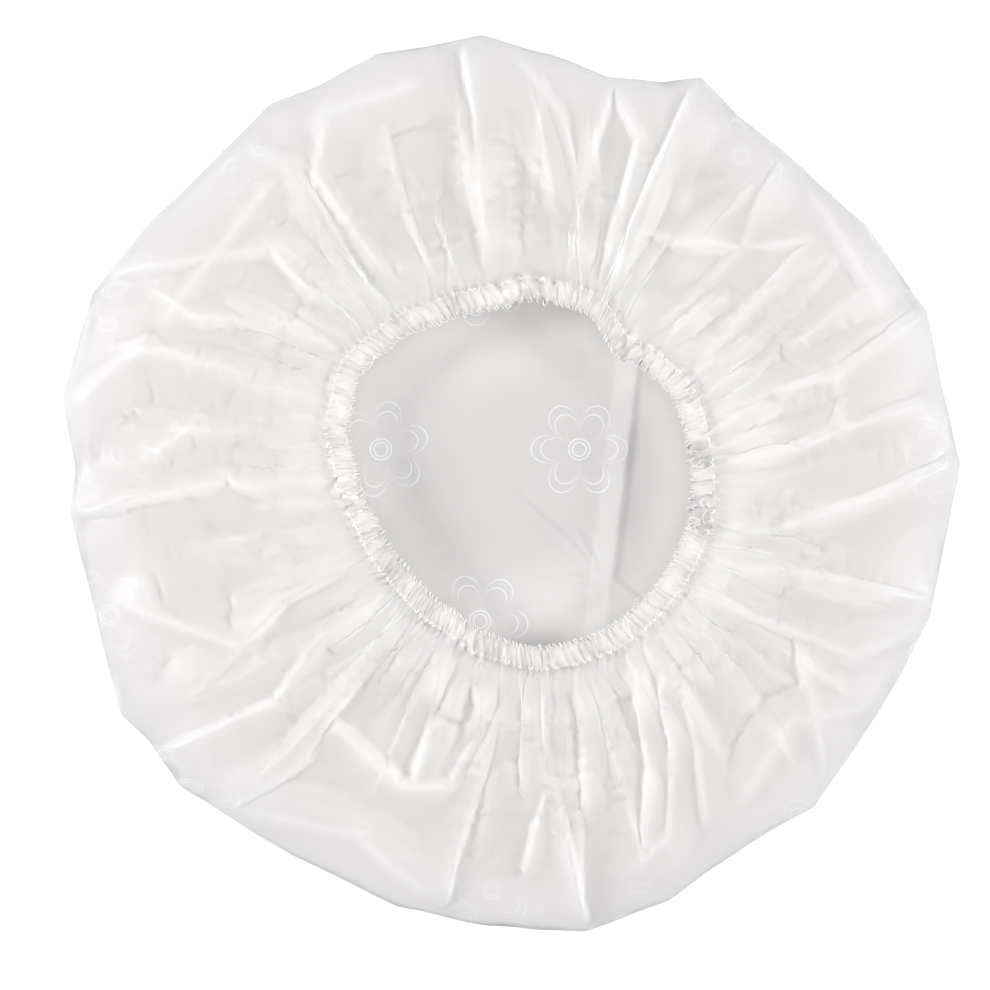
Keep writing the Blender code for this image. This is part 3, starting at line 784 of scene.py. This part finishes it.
def loops_tree(name):
    """A node tree that sews one loop of thread at each point of a path."""
    tree = bpy.data.node_groups.new(name, "GeometryNodeTree")
    for socket, kind, default in (
        ("Path", "Geometry", None),
        ("Start", "Vector", (0, 0, 0)),
        ("Start pull", "Vector", (0, 0, 0)),
        ("End pull", "Vector", (0, 0, 0)),
        ("End", "Vector", (0, 0, 0)),
        ("Thread radius", "Float", THREAD),
        ("Unevenness", "Float", 0.2),
        ("Thread", "Material", None),
    ):
        made = tree.interface.new_socket(socket, in_out="INPUT", socket_type="NodeSocket" + kind)
        if default is not None:
            made.default_value = default
    tree.interface.new_socket("Loops", in_out="OUTPUT", socket_type="NodeSocketGeometry")

    def add(kind, settings=None, links=None):
        node = tree.nodes.new(kind)
        for key, value in (settings or {}).items():
            setattr(node, key, value)
        for key, value in (links or {}).items():
            if isinstance(value, bpy.types.NodeSocket):
                tree.links.new(value, node.inputs[key])
            else:
                node.inputs[key].default_value = value
        return node

    given = add("NodeGroupInput").outputs
    loop = add("GeometryNodeCurvePrimitiveBezierSegment", {"mode": "POSITION"}, {
        "Resolution": 9, "Start": given["Start"], "Start Handle": given["Start pull"],
        "End Handle": given["End pull"], "End": given["End"],
    })
    section = add("GeometryNodeCurvePrimitiveCircle", None, {
        "Resolution": 5, "Radius": given["Thread radius"],
    })
    strand = add("GeometryNodeCurveToMesh", None, {
        "Curve": loop.outputs[0], "Profile Curve": section.outputs[0], "Fill Caps": True,
    })
    turn = add("GeometryNodeInputNamedAttribute", {"data_type": "FLOAT_VECTOR"}, {"Name": "turn"})
    stretch = add("GeometryNodeInputNamedAttribute", {"data_type": "FLOAT_VECTOR"}, {"Name": "stretch"})
    low = add("ShaderNodeMath", {"operation": "SUBTRACT"}, {0: 1.0, 1: given["Unevenness"]})
    high = add("ShaderNodeMath", {"operation": "ADD"}, {0: 1.0, 1: given["Unevenness"]})
    chance = add("FunctionNodeRandomValue", {"data_type": "FLOAT"}, {
        2: low.outputs[0], 3: high.outputs[0], "Seed": 4,
    })
    size = add("ShaderNodeVectorMath", {"operation": "SCALE"}, {
        0: stretch.outputs[0], "Scale": chance.outputs[1],
    })
    sewn = add("GeometryNodeInstanceOnPoints", None, {
        "Points": given["Path"], "Instance": strand.outputs[0],
        "Rotation": turn.outputs[0], "Scale": size.outputs[0],
    })
    plain = add("GeometryNodeRealizeInstances", None, {"Geometry": sewn.outputs[0]})
    smooth = add("GeometryNodeSetShadeSmooth", None, {"Geometry": plain.outputs[0]})
    finished = add("GeometryNodeSetMaterial", None, {
        "Geometry": smooth.outputs[0], "Material": given["Thread"],
    })
    tree.links.new(finished.outputs[0], add("NodeGroupOutput").inputs[0])
    return tree


def plain_mesh(guide):
    """The mesh that an object makes when it is evaluated. The object itself is removed."""
    made = bpy.data.meshes.new_from_object(guide.evaluated_get(bpy.context.evaluated_depsgraph_get()))
    bpy.data.objects.remove(guide)
    return made


def sew(name, tree, path, turn, stretch, sizes):
    """Runs the tree on a path of points and leaves a plain mesh."""
    points = bpy.data.meshes.new(name + " path")
    points.from_pydata((path + MIDDLE).tolist(), [], [])
    note(points, "turn", turn, "FLOAT_VECTOR")
    note(points, "stretch", stretch, "FLOAT_VECTOR")
    guide = add_to_scene(name + " guide", points)
    sewing = guide.modifiers.new("sewing", "NODES")
    sewing.node_group = tree
    for socket in tree.interface.items_tree:
        if socket.in_out == "INPUT" and socket.name in sizes:
            sewing[socket.identifier] = sizes[socket.name]
    made = plain_mesh(guide)
    made.name = name
    return add_to_scene(name, made)


def along_hem(pitch, ring):
    """Points of a ring of the hem, and the column of each. Steps are even to about a fifth."""
    steps = round(2 * np.pi * OPENING_RADIUS / pitch)
    dice = np.random.default_rng(steps)
    wanted = hem_bearing[0] + (np.arange(steps) + dice.uniform(-0.22, 0.22, steps)) * 360 / steps
    at = np.interp(wanted, np.append(hem_bearing, hem_bearing[0] + 360), np.arange(COLUMNS + 1))
    whole, part = np.floor(at).astype(int), (at % 1)[:, None]
    return ring[whole % COLUMNS] * (1 - part) + ring[(whole + 1) % COLUMNS] * part, whole % COLUMNS


def across_hem(path, dice, tilt, roll, yaw):
    """Turns that lay each loop across the hem, each off by up to so many radians."""
    bearings = np.arctan2(path[:, 1], path[:, 0])
    tilts, rolls, yaws = (dice.uniform(-most, most, len(path)) for most in (tilt, roll, yaw))
    return np.stack([tilts, rolls, bearings - np.pi / 2 + yaws], 1)


nylon, wire = new_finish("clear thread")
spot = wire.node("TexCoord", None, None, "Object")
fuzz = wire.node("TexNoise", None, {"Vector": spot, "Scale": 1600.0, "Detail": 2.0}, "Fac")
tone = blend(clamp(fuzz), (0.80, 0.797, 0.793, 1), (0.93, 0.927, 0.922, 1))
skin = wire.node("BsdfPrincipled", None, {"Base Color": tone, "Roughness": 0.22 + 0.15 * fuzz, "IOR": 1.53})
surface(skin)

loops = loops_tree("loops of thread")
inner_ring = hem_ring(ELASTIC_INSET - half_spread, 0, 0.0003, 0.0007, 0.5, 0.0004)
upper_ring = hem_ring(ELASTIC_INSET, half_spread, 0.0008, 0.0008, 0.48)
path, at = along_hem(LOOP_PITCH, inner_ring)
dice = np.random.default_rng(21)
turns = across_hem(path, dice, 0.15, 0.2, 0.25)
# The loops reach up as far as the hem stands there
tall = np.clip((upper_ring[at, 2] - path[:, 2]) / half_spread, 0.7, 2)
stretch = np.stack([np.ones(len(path)), np.ones(len(path)), tall], 1)
edge_loops = sew("edge_loops", loops, path, turns, stretch, {
    "Start": (-0.0005, 0.0008, 0.0010), "Start pull": (-0.0001, -0.0010, 0.0013),
    "End pull": (0.0002, -0.0010, -0.0009), "End": (0.0005, 0.0007, -0.0008),
    "Thread radius": THREAD, "Unevenness": 0.22, "Thread": nylon,
})
path, at = along_hem(SEAM_PITCH, skirt[-1])
path[:, 2] += 0.00015
turns = across_hem(path, dice, 0.2, 0.3, 0.5)
seam_loops = sew("seam_loops", loops, path, turns, np.ones((len(path), 3)), {
    "Start": (-0.0006, -0.0006, -0.0001), "Start pull": (-0.0003, 0.0006, 0.0005),
    "End pull": (0.0002, 0.0007, 0.0004), "End": (0.0006, -0.0005, -0.0001),
    "Thread radius": THREAD, "Unevenness": 0.3, "Thread": nylon,
})

# Loose tangles, each one strand wound over itself that runs off to a side: three where the ends of
# the elastic are joined, and one stray end
TANGLES = (
    # bearing, metres out from the mouth, size in metres, millimetres that the end runs off
    (5, 0.0022, 0.0026, 4), (351, 0.0040, 0.0019, -5), (344, 0.0018, 0.0022, 4), (141, 0.0002, 0.0005, 6),
)
tangles = bpy.data.curves.new("tangles", "CURVE")
tangles.dimensions, tangles.bevel_depth, tangles.bevel_resolution = "3D", THREAD * 0.7, 1
strand_at = np.linspace(0, 1, 90)
wound = 2 * np.pi * np.clip(strand_at, 0, 0.7) / 0.7
away = np.clip(strand_at - 0.7, 0, 1) / 0.3
for start, inset, size, tail in TANGLES:
    bearing = np.array([float(start)])
    radius = mouth_at(bearing, 1) * OPENING_RADIUS + inset
    height = mouth_at(bearing, 2) * HEM_HEIGHT + half_spread + 0.0012
    centre = polar(radius, bearing, height)[0] + MIDDLE
    x = size * np.sin(3 * wound + start) + 0.001 * tail * away
    y = size * 0.8 * np.sin(5 * wound + 1) - 0.0012 * np.sin(3 * away)
    z = size * 0.4 * np.sin(4 * wound + 2) + 0.0003 * np.sin(9 * away)
    out, side = np.radians(start), np.radians(start + 90)
    run = [
        centre[0] + x * np.cos(side) + y * np.cos(out),
        centre[1] + x * np.sin(side) + y * np.sin(out),
        centre[2] + z,
        np.ones(len(z)),
    ]
    strand = tangles.splines.new("POLY")
    strand.points.add(len(strand_at) - 1)
    strand.points.foreach_set("co", np.stack(run, 1).astype(np.float32).ravel())
tangle_mesh = plain_mesh(add_to_scene("tangles", tangles))
tangle_mesh.materials.clear()
tangle_mesh.materials.append(nylon)
tangle_mesh.shade_smooth()
thread_knots = add_to_scene("thread_knots", tangle_mesh)

for piece in (edge_loops, seam_loops, thread_knots):
    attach(piece, "root")

# The table, the light and the camera. The cap lies on a white table under two wide soft lights and
# one overhead, seen from straight above.

table_mesh = bpy.data.meshes.new("table")
table_mesh.from_pydata([(-3, -3, 0), (3, -3, 0), (3, 3, 0), (-3, 3, 0)], [], [(0, 1, 2, 3)])
table = add_to_scene("table", table_mesh)
paper, wire = new_finish("white paper")
skin = wire.node("BsdfPrincipled", None, {"Base Color": (0.92, 0.92, 0.92, 1), "Roughness": 0.9})
surface(skin)
table_mesh.materials.append(paper)

for name, place, size, power in (
    ("left softbox", (-2.15, 0.3, 1.25), 0.7, 50),
    ("right softbox", (2.2, 0.1, 1.3), 0.8, 44),
    ("overhead", (0.1, -0.1, 2.2), 1.5, 16),
):
    lamp = bpy.data.lights.new(name, "AREA")
    lamp.shape, lamp.size, lamp.energy = "SQUARE", size, power
    holder = add_to_scene(name, lamp)
    holder.location = place
    holder.rotation_euler = (-Vector(place)).to_track_quat("-Z", "Y").to_euler()
scene = bpy.context.scene
scene.world = bpy.data.worlds.new("room")
scene.world.use_nodes = True
background = scene.world.node_tree.nodes["Background"].inputs
background["Color"].default_value = (1, 1, 1, 1)
background["Strength"].default_value = 0.52
scene.view_settings.view_transform = "Standard"
scene.cycles.max_bounces = 6
scene.cycles.diffuse_bounces = 6
scene.cycles.glossy_bounces = 2
scene.cycles.transmission_bounces = 4
scene.cycles.transparent_max_bounces = 8
scene.cycles.caustics_reflective = False
scene.cycles.light_sampling_threshold = 0.05

CAMERA_HEIGHT = 1.2
VIEW_WIDTH = 0.3194          # of the table, from side to side of the picture
SENSOR = 36                  # millimetres across
camera = add_to_scene("camera", bpy.data.cameras.new("camera"))
camera.location = (-0.0056, -0.0035, CAMERA_HEIGHT)
camera.data.sensor_width = SENSOR
camera.data.lens = SENSOR * CAMERA_HEIGHT / VIEW_WIDTH
scene.camera = camera
